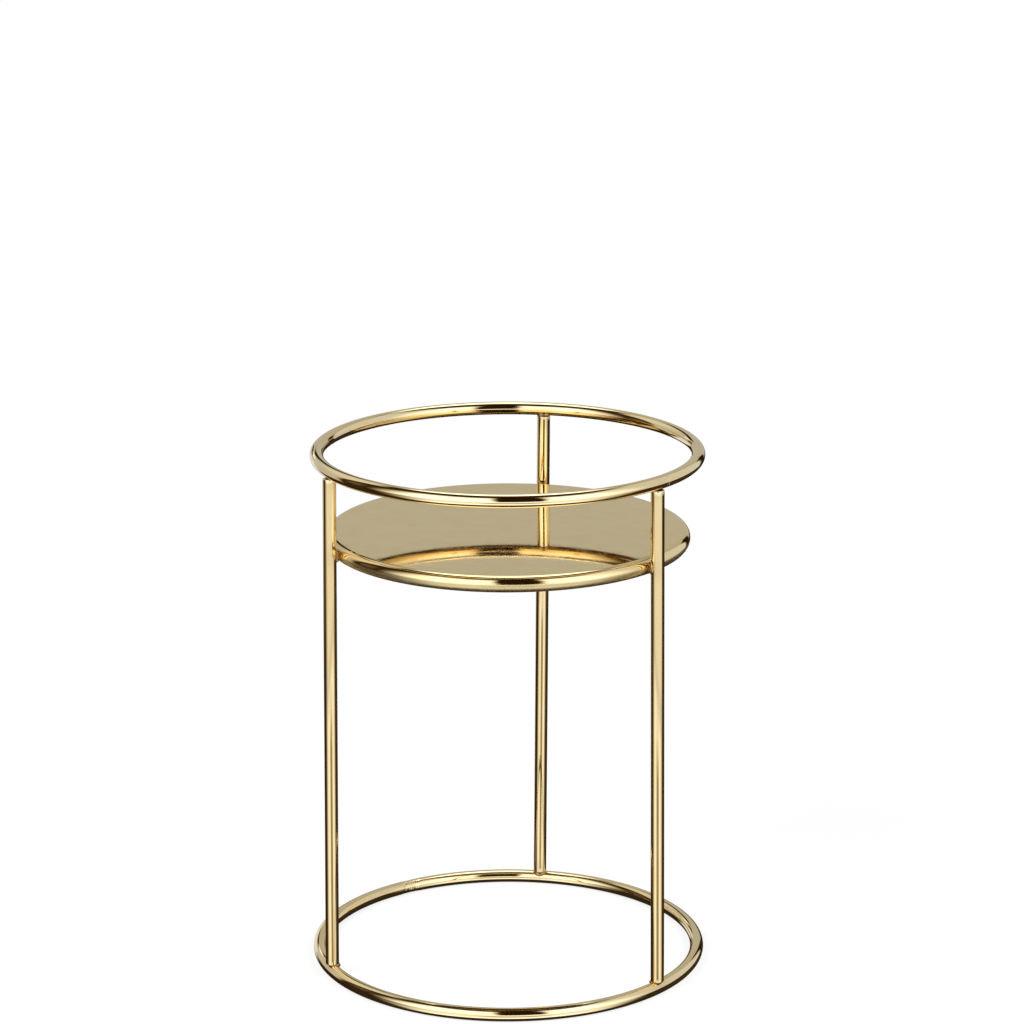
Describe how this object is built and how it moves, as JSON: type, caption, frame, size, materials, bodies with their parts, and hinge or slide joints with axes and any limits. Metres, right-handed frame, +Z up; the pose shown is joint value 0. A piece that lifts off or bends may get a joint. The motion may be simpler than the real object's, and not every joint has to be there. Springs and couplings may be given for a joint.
{
  "type": "plant stand",
  "caption": "Round welded metal plant stand: a top ring and a base ring joined by upright bar legs, with a flat round shelf set below the top ring to hold a pot.",
  "frame": {"origin": "centre of the base ring, on the floor that the stand rests on", "axes": "+Z up along the stand's axis, -Y towards the viewer in the reference view, +X to the viewer's right"},
  "size_m": [0.238, 0.238, 0.317],
  "materials": {
    "plated_bar": "polished pale brass plate on steel bar",
    "plated_sheet": "polished pale brass plate on pressed steel sheet",
    "plated_weld": "brass plate over small rippled weld beads"
  },
  "bodies": {
    "root": {"top_ring": "plated_bar", "base_ring": "plated_bar", "leg_front_left": "plated_bar", "leg_front_right": "plated_bar", "leg_rear": "plated_bar", "shelf": "plated_sheet", "top_ring_seam_weld": "plated_weld", "base_ring_seam_weld": "plated_weld", "top_weld_front_left": "plated_weld", "top_weld_front_right": "plated_weld", "top_weld_rear": "plated_weld", "base_weld_front_left": "plated_weld", "base_weld_front_right": "plated_weld", "base_weld_rear": "plated_weld", "rim_weld_front_left": "plated_weld", "rim_weld_front_right": "plated_weld", "rim_weld_rear": "plated_weld"}
  },
  "joints": []
}
